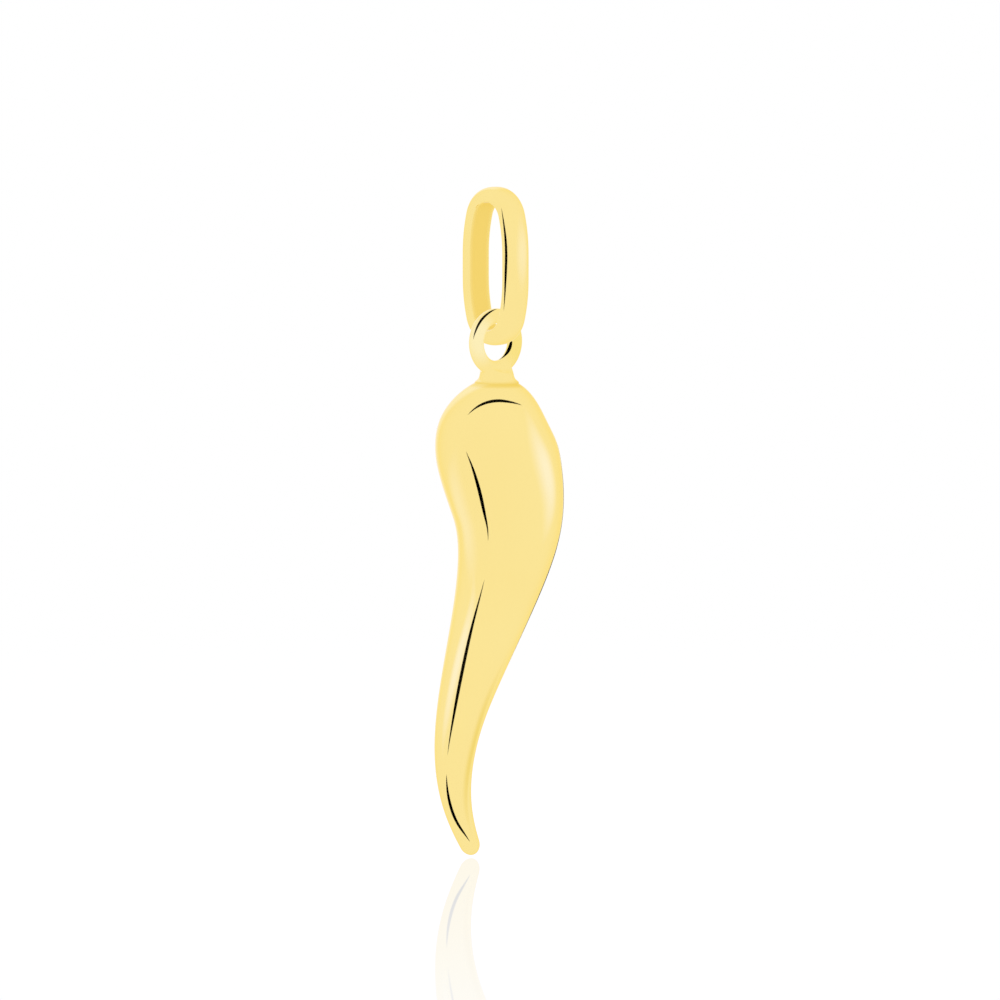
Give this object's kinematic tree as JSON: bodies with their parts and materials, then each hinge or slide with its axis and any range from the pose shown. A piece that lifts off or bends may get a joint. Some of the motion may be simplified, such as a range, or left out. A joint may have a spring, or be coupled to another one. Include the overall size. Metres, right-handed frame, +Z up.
{
  "type": "horn charm pendant with oval bail",
  "caption": "Polished yellow gold horn charm with an S curve, hung by a soldered round eye from an oval bail that a chain passes through.",
  "frame": {"origin": "middle of the inner top of the bail, where the chain lies", "axes": "+Z up when worn, -Y is the front as worn, X runs along the chain through the bail"},
  "size_m": [0.0067, 0.0056, 0.03],
  "materials": {
    "bail_gold": "polished",
    "horn_gold": "polished"
  },
  "bodies": {
    "bail": {"bail": "bail_gold"},
    "horn": {"horn": "horn_gold"}
  },
  "joints": [
    {"name": "eye_swing", "type": "hinge", "parent": "bail", "child": "horn", "pos_m": [0, 0, -0.00627], "axis": [0, 1, 0], "range_deg": [-130, 130]}
  ]
}
